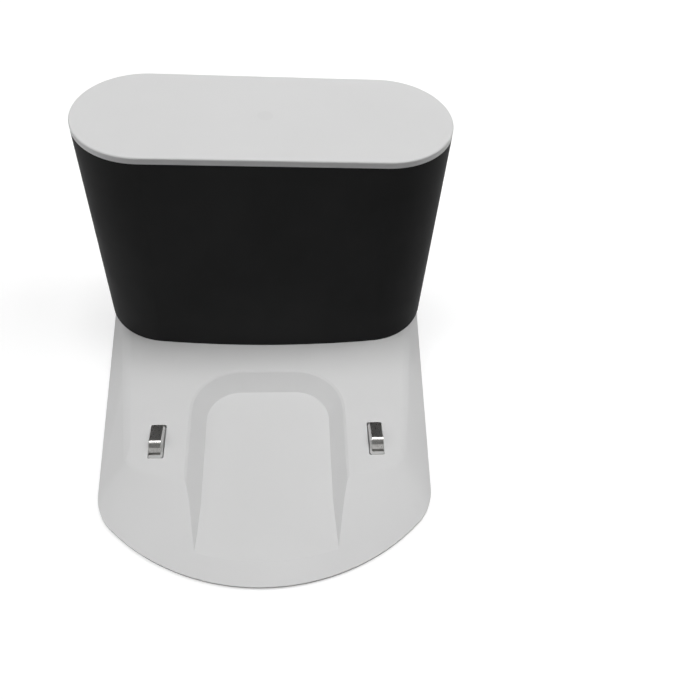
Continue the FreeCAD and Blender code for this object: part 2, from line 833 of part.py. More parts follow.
tongue_inner = new_sketch(lift=deck_z)
draw_stadium(tongue_inner, d.tower_wall + d.tongue_wall)
tongue_top = cap_z - d.cap_skirt - d.tongue_wall
tongue_ring = cut(hollow, [extrude(tongue_inner, cap_z - deck_z)])
tongue_low = deck_z + d.tower_boss_height + d.tongue_wall
tongue = common(tongue_ring, box(-beyond, beyond, split_y - d.tongue_reach, split_y + d.tongue_reach,
                                 tongue_low, tongue_top))
storage_body = new_body()
storage_sketch = new_sketch(storage_body, "XZ_Plane", -back_y - d.tower_wall)
draw_rectangle(storage_sketch, storage_left, storage_right, storage_bottom, storage_top, d.storage_corner)
pad(storage_body, storage_sketch, d.storage_depth + d.tower_wall)
storage_case = box(storage_left - d.tower_wall, storage_right + d.tower_wall, storage_wall_y, back_y,
                   storage_bottom - d.tower_wall, storage_top + d.tower_wall)
hole_x = d.board_width / 2 - d.board_hole_inset
board_holes = [(hole_x * side, level) for side in (1, -1)
               for level in (board_bottom + d.board_hole_inset, board_top - d.board_hole_inset)]
pillar_length = storage_wall_y - board_back_y
shelf = box(-d.board_width / 2, storage_right, storage_wall_y, storage_floor_y,
            storage_bottom - d.tower_wall, storage_top + d.tower_wall)
rear_shapes = [common(tower_ring, rear_half), common(tower, fuse([storage_case, shelf])), tongue]
rear_shapes += [boss(x, y, back_y) for x, y in rear_bosses]
rear_shapes += [rod(d.standoff_diameter, x, board_back_y, z, pillar_length + d.tower_wall / 2, "y")
                for x, z in board_holes]
rear_cuts = [storage_body]
rear_cuts += [boss_hole(x, y) for x, y in rear_bosses]
rear_cuts += [rod(d.screw_shank, x, board_back_y, z, d.board_screw_length - d.board_thickness, "y")
              for x, z in board_holes]
rear_cuts.append(box(storage_left - d.tower_wall, storage_left,
                     inlet_y - d.inlet_width / 2, inlet_y + d.inlet_width / 2,
                     inlet_z - d.inlet_height / 2, inlet_z + d.inlet_height / 2))
for side in (1, -1):
    middle = d.storage_shift + d.notch_spread / 2 * side
    rear_cuts.append(box(middle - d.notch_width / 2, middle + d.notch_width / 2,
                         back_y - d.tower_wall - d.notch_width, back_y + d.tower_wall,
                         deck_z, storage_bottom + d.tower_wall))
keep(cut(fuse(rear_shapes), rear_cuts), "rear_housing")

tower_screws = []
for x, y in rear_bosses + front_bosses:
    head = rod(d.screw_head, x, y, ceiling_z - d.tower_screw_head_height, d.tower_screw_head_height)
    shank = rod(d.screw_shank, x, y, ceiling_z - d.tower_screw_head_height / 2,
                d.deck_skin + d.tower_screw_length + d.tower_screw_head_height / 2 - d.screw_tip_skin)
    tower_screws.append(fuse([head, shank]))
keep(group(tower_screws), "tower_screws")

cap = new_body()
cap_plate = new_sketch(cap, lift=cap_z)
draw_stadium(cap_plate, zero)
cap_pad = pad(cap, cap_plate, d.cap_edge)
rim_edges = [f"Edge{i}" for i, edge in enumerate(cap_pad.Shape.Edges, start=1)
             if edge.BoundBox.ZMin > d.dock_height.number - NEAR]
cap_round = cap.newObject("PartDesign::Fillet", "soft_rim")
cap_round.Base = (cap_pad, rim_edges)
bind(cap_round, "Radius", d.cap_round)
doc.recompute()
cap_skirt = new_sketch(cap, lift=cap_z)
draw_stadium(cap_skirt, d.tower_wall + d.fit_gap)
draw_stadium(cap_skirt, d.tower_wall + d.fit_gap + d.cap_skirt_wall)
pad(cap, cap_skirt, d.cap_skirt, backwards=True)
cap_hole = new_sketch(cap, lift=d.dock_height)
round_circle(cap_hole, zero, tower_y, d.lens_diameter)
pocket(cap, cap_hole, d.cap_edge)
keep(cap, "top_cap")

# Status light: a light pipe in the cap over a lamp on the edge of the power board.
led_top = board_top + d.status_led_height
lens_bottom = led_top + d.lens_gap
keep(turned([
    (zero, lens_bottom),
    (d.lens_rod / 2, lens_bottom),
    (d.lens_rod / 2, cap_z - d.lens_flange_height),
    (d.lens_flange / 2, cap_z - d.lens_flange_height),
    (d.lens_flange / 2, cap_z),
    (d.lens_diameter / 2, cap_z),
    (d.lens_diameter / 2, d.dock_height),
    (zero, d.dock_height),
], zero, tower_y), "indicator_lens")
keep(turned([
    (zero, board_top),
    (d.status_led_diameter / 2, board_top),
    (d.status_led_diameter / 2, led_top, d.status_led_diameter / 4),
    (zero, led_top),
], zero, tower_y), "status_lamp")


# Sides of the plain cross-sections used for spring wire and for leads.
WIRE_SIDES = 6
LEAD_SIDES = 8


# Charging contacts: a bent metal strip over a white carrier that a coil spring pushes up.
def crown(body, width, drop, flange_z):
    """Side profile of a contact, lowered by drop, padded to a width about the middle."""
    sketch = new_sketch(body, "YZ_Plane", -width / 2)
    rear = contact_y + d.contact_rear_run - drop
    front = contact_y - d.contact_front_run + drop
    draw_polygon(sketch, [
        (rear, flange_z),
        (rear, deck_z + d.contact_shoulder - drop),
        (contact_y, deck_z + d.contact_rise - drop, d.contact_round - drop),
        (contact_y - d.contact_knee_run, deck_z + d.contact_knee_rise - drop, d.contact_knee_round + drop),
        (front, deck_z + d.contact_toe_rise - drop),
        (front, flange_z),
    ])
    return pad(body, sketch, width)


carrier_top = ceiling_z - d.stop_gap
carrier_bottom = carrier_top - d.carrier_flange_thickness
spring_top = deck_z + d.contact_rise - d.contact_sheet - d.spring_roof
tail_z = carrier_top - d.contact_tail
lead_z = tail_z + d.lead_diameter / 2
for side, word in ((-1, "left"), (1, "right")):
    x = contact_x * side
    whole = new_body()
    crown(whole, d.contact_width, zero, tail_z)
    place(whole, x, zero, zero)
    core = new_body()
    crown(core, d.contact_width * 2, d.contact_sheet, tail_z - d.contact_sheet)
    place(core, x, zero, zero)
    strip = keep(cut(whole, [core]), f"{word}_contact")

    carrier = new_body()
    crown(carrier, d.carrier_width, d.contact_sheet, carrier_bottom)
    middle = carrier_x * side
    half = d.carrier_width / 2
    place(carrier, middle, zero, zero)
    lip = box(middle - half, middle + half, carrier_front_y, contact_y, carrier_bottom,
              deck_z - d.carrier_lip_drop)
    rounded_plan = new_sketch(lift=carrier_bottom)
    draw_rectangle(rounded_plan, middle - half, middle + half, carrier_front_y,
                   carrier_rear_y - d.contact_sheet, d.carrier_corner)
    rounded = common(fuse([carrier, lip]), extrude(rounded_plan, d.dock_height))
    flange_half = half + d.carrier_flange
    strip_front_y = contact_y - d.contact_front_run
    flange = box(middle - flange_half, middle + flange_half, strip_front_y + d.contact_sheet,
                 carrier_rear_y - d.contact_sheet, carrier_bottom, carrier_top)
    well = rod(d.spring_diameter + d.spring_wire + d.spring_room * 2, middle, spring_y, carrier_bottom,
               spring_top - carrier_bottom)
    groove_start = x - d.contact_width / 2 * side
    groove_stop = x + d.carrier_width / 2 * side
    low, high = (groove_start, groove_stop) if side == 1 else (groove_stop, groove_start)
    groove = box(low, high, strip_front_y - d.carrier_groove, strip_front_y,
                 deck_z - d.carrier_groove_depth, deck_z)
    keep(cut(fuse([rounded, flange]), [well, groove, strip]), f"{word}_contact_carrier")

    helix = doc.addObject("Part::Helix", "coil")
    coil_height = spring_top - floor_z - d.spring_wire
    bind(helix, "Radius", d.spring_diameter / 2)
    bind(helix, "Height", coil_height)
    bind(helix, "Pitch", coil_height / d.spring_turns)
    place(helix, middle, spring_y, floor_z + d.spring_wire / 2)
    wire = doc.addObject("Part::RegularPolygon", "wire")
    wire.Polygon = WIRE_SIDES
    wire.Placement = FreeCAD.Placement(FreeCAD.Vector(), FreeCAD.Rotation(FreeCAD.Vector(1, 0, 0), 90))
    bind(wire, "Circumradius", d.spring_wire / 2)
    place(wire, middle + d.spring_diameter / 2, spring_y, floor_z + d.spring_wire / 2)
    doc.recompute()
    spring = doc.addObject("Part::Sweep", "spring")
    spring.Sections = [wire]
    spring.Spine = (helix, [f"Edge{i}" for i in range(1, len(helix.Shape.Edges) + 1)])
    spring.Solid = True
    spring.Frenet = True
    keep(spring, f"{word}_contact_spring")


def lead_shape(points, diameter, bend):
    """An eight-sided lead through given points, with an arc of the bend radius at each turn."""
    points = [FreeCAD.Vector(*[size.number for size in map(as_size, point)]) for point in points]
    edges = []
    start = points[0]
    for before, corner, after in zip(points, points[1:], points[2:]):
        arriving = (before - corner).normalize()
        leaving = (after - corner).normalize()
        half = arriving.getAngle(leaving) / 2
        setback = bend.number / math.tan(half)
        entry = corner + arriving * setback
        leave = corner + leaving * setback
        centre = corner + (arriving + leaving).normalize() * (bend.number / math.sin(half))
        middle = centre + (corner - centre).normalize() * bend.number
        edges.append(Part.LineSegment(start, entry).toShape())
        edges.append(Part.Arc(entry, middle, leave).toShape())
        start = leave
    edges.append(Part.LineSegment(start, points[-1]).toShape())
    heading = (points[1] - points[0]).normalize()
    across = heading.cross(FreeCAD.Vector(0, 0, 1)).normalize() * (diameter.number / 2)
    facets = [points[0] + FreeCAD.Rotation(heading, 360 * i / LEAD_SIDES).multVec(across)
              for i in range(LEAD_SIDES)]
    section = Part.makePolygon(facets + facets[:1])
    return Part.Wire(edges).makePipeShell([section], True, True)


def lead(routes):
    item = doc.addObject("Part::Feature", "lead")
    shapes = [lead_shape(points, d.lead_diameter, d.lead_bend) for points in routes]
    item.Shape = shapes[0] if len(shapes) == 1 else Part.makeCompound(shapes)
    return item


for side, word in ((-1, "left"), (1, "right")):
    lead_x = d.lead_spread / 2 * side
    route = [
        (lead_x, board_front_y, board_bottom + d.lead_rise),
        (lead_x, port_y, board_bottom + d.lead_rise),
        (lead_x, port_y, lead_z),
        (contact_x * side, tower_front_y - d.lead_turn, lead_z),
        (contact_x * side, carrier_rear_y, lead_z),
    ]
    keep(lead([route]), f"{word}_contact_lead")

# Power board with its parts on the front face.
board = box(-d.board_width / 2, d.board_width / 2, board_front_y, board_back_y, board_bottom, board_top)
keep(cut(board, [rod(d.screw_shank, x, board_front_y, z, d.board_thickness, "y") for x, z in board_holes]),
     "power_board")
board_screws = []
for x, z in board_holes:
    head = rod(d.screw_head, x, board_front_y - d.tower_screw_head_height, z,
               d.tower_screw_head_height, "y")
    shank = rod(d.screw_shank, x, board_front_y - d.tower_screw_head_height / 2, z,
                d.board_screw_length + d.tower_screw_head_height / 2 - d.screw_tip_skin, "y")
    board_screws.append(fuse([head, shank]))
keep(group(board_screws), "board_screws")

transformer_x0 = -d.transformer_x - d.transformer_width / 2
transformer_z0 = board_bottom + d.transformer_z - d.transformer_height / 2
core_z = board_bottom + d.transformer_z
transformer_y = board_front_y - d.transformer_depth
bobbin = box(transformer_x0, transformer_x0 + d.transformer_width,
             transformer_y + d.tower_wall, board_front_y,
             transformer_z0, transformer_z0 + d.transformer_height)
core_block = box(transformer_x0 - d.tower_wall, transformer_x0 + d.transformer_width + d.tower_wall,
                 transformer_y, board_front_y - d.tower_wall,
                 core_z - d.transformer_core / 2, core_z + d.transformer_core / 2)
keep(fuse([bobbin, core_block]), "transformer")

bulk_y = board_front_y - d.bulk_diameter / 2
keep(rod(d.bulk_diameter, -d.bulk_x, bulk_y, board_bottom + d.bulk_z - d.bulk_length / 2, d.bulk_length),
     "bulk_capacitor")
output_cans = []
for i in (0, 1):
    output_cans.append(rod(d.output_can_diameter, d.output_can_x + d.output_can_pitch * i,
                           board_front_y - d.output_can_height, board_bottom + d.output_can_z,
                           d.output_can_height, "y"))
keep(group(output_cans), "output_capacitors")
sink_x0 = d.sink_x - d.sink_width / 2
sink_z0 = board_bottom + d.sink_z
sink_block = box(sink_x0, sink_x0 + d.sink_width, board_front_y - d.sink_depth, board_front_y,
                 sink_z0, sink_z0 + d.sink_height)
sink_hollow = box(sink_x0 + d.sink_wall, sink_x0 + d.sink_width - d.sink_wall, board_front_y - d.sink_depth,
                  board_front_y - d.sink_wall, sink_z0, sink_z0 + d.sink_height)
keep(cut(sink_block, [sink_hollow]), "heat_sink")
choke_place = (-d.choke_x, board_front_y - d.choke_depth, board_bottom + d.choke_z)
choke_ring = rod(d.choke_diameter, *choke_place, d.choke_depth, "y")
keep(cut(choke_ring, [rod(d.choke_hole, *choke_place, d.choke_depth, "y")]), "line_choke")
keep(rod(d.fuse_diameter, -d.fuse_x - d.fuse_length / 2, board_front_y - d.fuse_diameter / 2,
         board_bottom + d.fuse_z, d.fuse_length, "x"), "mains_fuse")

# Mains inlet in the side wall of the cord storage.
inlet_case = box(inlet_back_x, storage_left, inlet_y - d.inlet_width / 2, inlet_y + d.inlet_width / 2,
                 inlet_z - d.inlet_height / 2, inlet_z + d.inlet_height / 2)
flange_x = storage_left - d.tower_wall
inlet_collar = box(flange_x - d.inlet_flange, flange_x, inlet_y - d.inlet_width / 2,
                   inlet_y + d.inlet_width / 2, inlet_z - d.inlet_height / 2 - d.inlet_flange,
                   inlet_z + d.inlet_height / 2 + d.inlet_flange)
socket = new_body()
socket_plan = new_sketch(socket, "YZ_Plane", storage_left - d.socket_depth)
draw_rectangle(socket_plan, inlet_y - d.socket_width / 2, inlet_y + d.socket_width / 2,
               inlet_z - d.socket_height / 2, inlet_z + d.socket_height / 2, d.socket_width / 2 - d.fit_gap)
pad(socket, socket_plan, d.socket_depth)
pin_z = [inlet_z + d.pin_pitch / 2 * side for side in (1, -1)]
pin_start = inlet_back_x - d.pin_tail
pin_length = storage_left - d.pin_recess - pin_start
pin_rods = [rod(d.pin_diameter, pin_start, inlet_y, z, pin_length, "x") for z in pin_z]
keep(cut(fuse([inlet_case, inlet_collar]), [socket] + pin_rods), "mains_inlet")
keep(group(pin_rods), "inlet_pins")
loop_x = pin_start - d.inlet_lead_loop
inlet_routes = []
for z in pin_z:
    inlet_routes.append([
        (pin_start, inlet_y, z),
        (loop_x, inlet_y, z),
        (loop_x, board_back_y + d.inlet_lead_loop, z),
        (-d.board_width / 2 + d.board_hole_inset, board_back_y + d.inlet_lead_loop, z),
        (-d.board_width / 2 + d.board_hole_inset, board_back_y, z),
    ])
keep(lead(inlet_routes), "inlet_leads")

# Infrared beacon behind the window: a shroud on two legs, a board and five emitters.
bar = box(-d.beacon_width / 2, d.beacon_width / 2, shroud_front_y, beacon_front_y, beacon_bottom,
          beacon_bottom + d.beacon_height)
legs = []
beacon_holes = []
for side in (1, -1):
    low = d.beacon_width / 2 - d.shroud_leg if side == 1 else -d.beacon_width / 2
    high = low + d.shroud_leg
    legs.append(box(low, high, shroud_front_y, beacon_front_y, deck_z, beacon_middle))
    legs.append(box(low, high, shroud_front_y, beacon_front_y + d.shroud_foot, deck_z,
                    deck_z + d.tower_wall))
    beacon_holes.append((low + d.shroud_leg / 2, beacon_middle))
emitter_places = [d.emitter_inner_pitch * i for i in (-1, 0, 1)]
emitter_places += [d.emitter_outer_spread / 2 * side for side in (1, -1)]
tubes = []
for x in emitter_places:
    tubes.append(rod(d.emitter_diameter + d.fit_gap * 2, x, shroud_front_y, beacon_middle,
                     d.shroud_depth, "y"))
    tubes.append(rod(d.emitter_flange + d.fit_gap * 2, x,
                     beacon_front_y - d.emitter_flange_height - d.fit_gap, beacon_middle,
                     d.emitter_flange_height + d.fit_gap, "y"))
shank_holes = [rod(d.screw_shank, x, beacon_front_y - d.shroud_depth / 2, z, d.shroud_depth / 2, "y")
               for x, z in beacon_holes]
keep(cut(fuse([bar] + legs), tubes + shank_holes), "beacon_shroud")
beacon_plate = box(-d.beacon_width / 2, d.beacon_width / 2, beacon_front_y, beacon_back_y, beacon_bottom,
                   beacon_bottom + d.beacon_height)
board_bores = [rod(d.screw_shank, x, beacon_front_y, z, d.board_thickness, "y") for x, z in beacon_holes]
keep(cut(beacon_plate, board_bores), "beacon_board")
beacon_screws = []
for x, z in beacon_holes:
    head = rod(d.screw_head, x, beacon_back_y, z, d.tower_screw_head_height, "y")
    shank = rod(d.screw_shank, x, beacon_front_y - d.shroud_depth / 2 + d.fit_gap, z,
                d.shroud_depth / 2 - d.fit_gap + d.board_thickness + d.tower_screw_head_height / 2, "y")
    beacon_screws.append(fuse([head, shank]))
keep(group(beacon_screws), "beacon_screws")

emitters = []
emitter_body = d.shroud_depth - d.emitter_diameter / 2
for x in emitter_places:
    emitters.append(fuse([
        cone(d.emitter_tip, d.emitter_diameter, x, shroud_front_y, beacon_middle,
             d.emitter_diameter / 2, "y"),
        rod(d.emitter_diameter, x, beacon_front_y - emitter_body, beacon_middle, emitter_body, "y"),
        rod(d.emitter_flange, x, beacon_front_y - d.emitter_flange_height, beacon_middle,
            d.emitter_flange_height, "y"),
    ]))
keep(group(emitters), "ir_emitters")
keep(rod(d.beacon_lead_diameter, zero, beacon_back_y, beacon_bottom + d.beacon_lead_drop,
         board_front_y - beacon_back_y, "y"), "beacon_lead")

doc.recompute()

for item in doc.Objects:
    if "Invalid" in item.State or "Error" in item.State:
        raise RuntimeError(f"{item.Name} did not recompute: {item.State}")
os.makedirs("parts", exist_ok=True)
for item in parts:
    shape = item.Shape
    if shape.isNull() or not shape.isValid() or not shape.Solids:
        raise RuntimeError(f"{item.Label} has no valid solid")
    shape.exportStep(f"parts/{item.Label}.step")
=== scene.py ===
import json
import math

import bmesh
import bpy
from mathutils import Matrix, Vector

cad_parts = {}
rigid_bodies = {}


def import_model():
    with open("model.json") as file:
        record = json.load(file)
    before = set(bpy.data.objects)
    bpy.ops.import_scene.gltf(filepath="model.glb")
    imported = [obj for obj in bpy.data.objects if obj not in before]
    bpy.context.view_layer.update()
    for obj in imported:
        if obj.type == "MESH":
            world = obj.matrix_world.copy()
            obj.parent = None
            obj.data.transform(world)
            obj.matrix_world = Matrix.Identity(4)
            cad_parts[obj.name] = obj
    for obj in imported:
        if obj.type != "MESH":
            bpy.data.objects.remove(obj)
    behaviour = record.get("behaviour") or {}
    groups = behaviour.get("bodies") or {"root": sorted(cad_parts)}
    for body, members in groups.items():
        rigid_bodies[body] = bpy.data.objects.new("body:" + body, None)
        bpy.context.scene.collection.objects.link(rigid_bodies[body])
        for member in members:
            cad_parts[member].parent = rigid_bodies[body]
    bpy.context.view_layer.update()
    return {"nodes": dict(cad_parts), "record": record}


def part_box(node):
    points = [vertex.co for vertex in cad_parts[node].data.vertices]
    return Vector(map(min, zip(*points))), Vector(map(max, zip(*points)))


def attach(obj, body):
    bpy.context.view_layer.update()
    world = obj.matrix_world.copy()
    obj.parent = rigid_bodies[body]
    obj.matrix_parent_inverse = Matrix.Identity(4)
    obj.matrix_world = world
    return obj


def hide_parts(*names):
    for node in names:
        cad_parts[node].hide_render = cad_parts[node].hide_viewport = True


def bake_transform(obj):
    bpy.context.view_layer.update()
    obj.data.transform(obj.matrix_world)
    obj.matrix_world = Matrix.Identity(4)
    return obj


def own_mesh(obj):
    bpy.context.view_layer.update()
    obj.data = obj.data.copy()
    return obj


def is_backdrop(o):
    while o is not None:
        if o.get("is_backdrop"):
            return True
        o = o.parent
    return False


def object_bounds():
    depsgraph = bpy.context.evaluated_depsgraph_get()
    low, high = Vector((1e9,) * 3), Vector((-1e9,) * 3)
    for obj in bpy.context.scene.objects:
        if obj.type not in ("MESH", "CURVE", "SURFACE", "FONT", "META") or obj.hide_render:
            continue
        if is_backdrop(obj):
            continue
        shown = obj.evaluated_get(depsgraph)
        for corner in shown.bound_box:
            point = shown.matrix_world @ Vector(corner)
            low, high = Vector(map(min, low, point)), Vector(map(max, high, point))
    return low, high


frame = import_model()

scene = bpy.context.scene
scene.view_settings.view_transform = "Standard"
nodes = frame["nodes"]
joints = frame["record"]["behaviour"]["joints"]
WHITE = (1, 1, 1, 1)

# Sockets of a mix node, which share their names between its kinds.
MIX_FACTOR = 0
COLOUR_A = 6
COLOUR_B = 7
COLOUR_RESULT = 2
NUMBER_A = 2
NUMBER_B = 3
NUMBER_RESULT = 0

# Part of the noise range that is spread over a surface's variation.
NOISE_LOW = 0.3
NOISE_HIGH = 0.7

# Moulded plastic: noise cells per metre, noise detail, and the grain's strength and height in metres.
CLOUD_CELLS = 28.0
CLOUD_DETAIL = 3.0
GLOSS_CELLS = 90.0
GLOSS_DETAIL = 4.0
GLOSS_SWING = 0.04
GRAIN_CELLS = 2600.0
GRAIN_DETAIL = 3.0
GRAIN_ROUGHNESS = 0.6
GRAIN_STRENGTH = 0.18
GRAIN_DEPTH = 0.00004

# Drawn metal: the lines' stretch by axis, noise detail, strength, height and reach in the gloss.
LINE_STRETCH = (1.0, 0.06, 1.0)
LINE_DETAIL = 5.0
LINE_STRENGTH = 0.1
LINE_DEPTH = 0.000004
LINE_GLOSS_LOW = 0.8
LINE_GLOSS_HIGH = 1.25


def new_material(name):
    """An empty node material: returns the material, its tree and its main shader."""
    material = bpy.data.materials.new(name)
    material.use_nodes = True
    tree = material.node_tree
    shader = tree.nodes["Principled BSDF"]
    return material, tree, shader


def add(tree, kind, **settings):
    """A new node with its settings."""
    node = tree.nodes.new(kind)
    for key, value in settings.items():
        setattr(node, key, value)
    return node


def fill(node, **values):
    """Set inputs by name, with _ for a space in the name."""
    for key, value in values.items():
        node.inputs[key.replace("_", " ")].default_value = value


def noise(tree, cells, detail, roughness=0.5, stretch=None):
    """Noise in the object's own space, in cells per metre, stretched by axis where asked."""
    place = add(tree, "ShaderNodeTexCoord").outputs["Object"]
    if stretch:
        mapping = add(tree, "ShaderNodeMapping")
        fill(mapping, Scale=stretch)
        tree.links.new(place, mapping.inputs["Vector"])
        place = mapping.outputs["Vector"]
    texture = add(tree, "ShaderNodeTexNoise")
    fill(texture, Scale=cells, Detail=detail, Roughness=roughness)
    tree.links.new(place, texture.inputs["Vector"])
    return texture.outputs["Fac"]


def map_range(tree, source, from_low, from_high, to_low, to_high):
    """Map a value from one range to another."""
    ramp = add(tree, "ShaderNodeMapRange")
    fill(ramp, From_Min=from_low, From_Max=from_high, To_Min=to_low, To_Max=to_high)
    tree.links.new(source, ramp.inputs["Value"])
    return ramp.outputs["Result"]


def spread(tree, source, low, high):
    """Map a noise value to a narrow range."""
    return map_range(tree, source, NOISE_LOW, NOISE_HIGH, low, high)


def combined(tree, operation, first, second):
    """One number made from two."""
    maths = add(tree, "ShaderNodeMath", operation=operation)
    tree.links.new(first, maths.inputs[0])
    tree.links.new(second, maths.inputs[1])
    return maths.outputs["Value"]


def two_tone(tree, source, dark, light):
    """Blend two close colours by a noise value."""
    mix = add(tree, "ShaderNodeMix", data_type="RGBA")
    mix.inputs[COLOUR_A].default_value = (*dark, 1)
    mix.inputs[COLOUR_B].default_value = (*light, 1)
    tree.links.new(spread(tree, source, 0, 1), mix.inputs[MIX_FACTOR])
    return mix.outputs[COLOUR_RESULT]


def bumped(tree, shader, source, strength, depth):
    """Raise a shader's surface by a noise value."""
    bump = add(tree, "ShaderNodeBump")
    fill(bump, Strength=strength, Distance=depth)
    tree.links.new(source, bump.inputs["Height"])
    tree.links.new(bump.outputs["Normal"], shader.inputs["Normal"])


def moulded(name, colour, roughness, grain=GRAIN_CELLS, depth=GRAIN_DEPTH, swing=0.03, specular=0.5):
    """Moulded plastic: a fine spark texture, faint clouding and uneven gloss."""
    material, tree, shader = new_material(name)
    dark = [c * (1 - swing) for c in colour]
    light = [min(1.0, c * (1 + swing)) for c in colour]
    tone = two_tone(tree, noise(tree, CLOUD_CELLS, CLOUD_DETAIL), dark, light)
    tree.links.new(tone, shader.inputs["Base Color"])
    shine = noise(tree, GLOSS_CELLS, GLOSS_DETAIL)
    gloss = spread(tree, shine, roughness - GLOSS_SWING, roughness + GLOSS_SWING)
    tree.links.new(gloss, shader.inputs["Roughness"])
    shader.inputs["Specular IOR Level"].default_value = specular
    sparks = noise(tree, grain, GRAIN_DETAIL, GRAIN_ROUGHNESS)
    bumped(tree, shader, sparks, GRAIN_STRENGTH, depth)
    return material


def drawn_metal(name, colour, roughness, grain, swing=0.06):
    """Rolled or plated metal: fine lines along one axis in tone, gloss and height."""
    material, tree, shader = new_material(name)
    shader.inputs["Metallic"].default_value = 1.0
    lines = noise(tree, grain, LINE_DETAIL, stretch=LINE_STRETCH)
    dark = [c * (1 - swing) for c in colour]
    tree.links.new(two_tone(tree, lines, dark, colour), shader.inputs["Base Color"])
    gloss = spread(tree, lines, roughness * LINE_GLOSS_LOW, roughness * LINE_GLOSS_HIGH)
    tree.links.new(gloss, shader.inputs["Roughness"])
    bumped(tree, shader, lines, LINE_STRENGTH, LINE_DEPTH)
    return material


# One material for each slot: name, colour and roughness, then what differs from the usual.
materials = {
    "white_plastic": moulded("satin_white_plastic", (0.70, 0.70, 0.70), 0.55, swing=0.012, specular=0.35),
    "cover_plastic": moulded("white_cover_plastic", (0.66, 0.66, 0.66), 0.5, swing=0.015),
    "dark_window": moulded("infrared_black_plastic", (0.033, 0.033, 0.0335), 0.5,
                           grain=900.0, depth=0.00001, swing=0.1, specular=0.012),
    "contact_plate": drawn_metal("nickel_plate", (0.72, 0.71, 0.69), 0.3, grain=6000.0, swing=0.03),
    "foot_rubber": moulded("grey_rubber", (0.18, 0.18, 0.18), 0.75,
                           grain=1800.0, swing=0.08, specular=0.3),
    "spring_steel": drawn_metal("spring_wire", (0.55, 0.55, 0.54), 0.25, grain=3000.0),
    "screw_steel": drawn_metal("zinc_plate", (0.6, 0.6, 0.58), 0.32, grain=2600.0),
    "board_laminate": moulded("green_laminate", (0.02, 0.13, 0.05), 0.3, grain=1500.0, swing=0.2),
    "black_plastic": moulded("black_plastic", (0.015, 0.015, 0.015), 0.45, swing=0.15),
    "pin_metal": drawn_metal("nickel_pin", (0.7, 0.68, 0.62), 0.2, grain=2600.0),
    "lens_plastic": moulded("frosted_lens", (0.675, 0.675, 0.675), 0.4,
                            grain=5000.0, depth=0.00002, swing=0.01),
    "lamp_epoxy": moulded("cast_epoxy", (0.35, 0.4, 0.5), 0.12, grain=800.0, depth=0.00001, swing=0.05),
    "capacitor_sleeve": moulded("shrink_sleeve", (0.03, 0.035, 0.06), 0.25, grain=700.0, swing=0.1),
    "sink_aluminium": drawn_metal("rolled_aluminium", (0.72, 0.72, 0.73), 0.35, grain=1800.0),
    "core_ferrite": moulded("ferrite", (0.05, 0.05, 0.055), 0.55, grain=1500.0, swing=0.2),
    "choke_copper": drawn_metal("enamelled_copper", (0.55, 0.26, 0.1), 0.3, grain=1500.0),
    "fuse_ceramic": moulded("glazed_ceramic", (0.7, 0.68, 0.6), 0.2, grain=900.0, swing=0.04),
    "lead_sleeve": moulded("lead_sleeve", (0.03, 0.03, 0.03), 0.45, grain=1200.0, swing=0.1),
}
for entry in frame["record"]["subparts"]:
    mesh = nodes[entry["node"]].data
    mesh.materials.clear()
    mesh.materials.append(materials[entry["material_slot"]])

# The contact carriers are a greyer plastic than the shell, and part of their darkness is painted shade
# standing in for the shadow in the slots around the contacts.
carrier_plastic_with_painted_shade = moulded("nylon_with_painted_shade", (0.48, 0.48, 0.475), 0.5, swing=0.02, specular=0.35)
for side in ("left", "right"):
    nodes[f"{side}_contact_carrier"].data.materials[0] = carrier_plastic_with_painted_shade


def piece_from(shape, name, material):
    """Turn a finished bmesh into a piece of the scene."""
    mesh = bpy.data.meshes.new(name)
    shape.to_mesh(mesh)
    shape.free()
    mesh.materials.append(material)
    piece = bpy.data.objects.new(name, mesh)
    scene.collection.objects.link(piece)
    return piece


# Contact leads, at LEAD_ROW among a joint's deforming nodes: the straight stretch under the deck, between
# its free end and LEAD_HELD_Y where the lead is held, gets rings of points.
LEAD_ROW = 1
LEAD_HELD_Y = 0.014
LEAD_RINGS = 12
WELD_REACH = 0.000001


def flexing_lead(name, node, free_y):
    """A copy of a lead with rings of points from its free end to where it is held."""
    shape = bmesh.new()
    shape.from_mesh(nodes[node].data)
    bmesh.ops.remove_doubles(shape, verts=shape.verts, dist=WELD_REACH)
    for ring in range(1, LEAD_RINGS):
        y = free_y + (LEAD_HELD_Y - free_y) * ring / LEAD_RINGS
        everything = shape.verts[:] + shape.edges[:] + shape.faces[:]
        bmesh.ops.bisect_plane(shape, geom=everything, plane_co=(0, y, 0), plane_no=(0, 1, 0))
    for face in shape.faces:
        face.smooth = True
    return piece_from(shape, name, materials["lead_sleeve"])


for joint in joints:
    node = joint["deforming_nodes"][LEAD_ROW]["node"]
    free_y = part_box(node)[0].y
    wire = flexing_lead(f"{node}_wire", node, free_y)
    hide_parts(node)
    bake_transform(wire)

# Contact springs, at SPRING_ROW among a joint's deforming nodes: round wire coils in place of the springs,
# carried by the joint's parent body.
SPRING_ROW = 0
SPRING_WIRE = 0.0004
SPRING_TURNS = 4.5
TURN_STEPS = 32
WIRE_SIDES = 10
UPWARD = Vector((0, 0, 1))


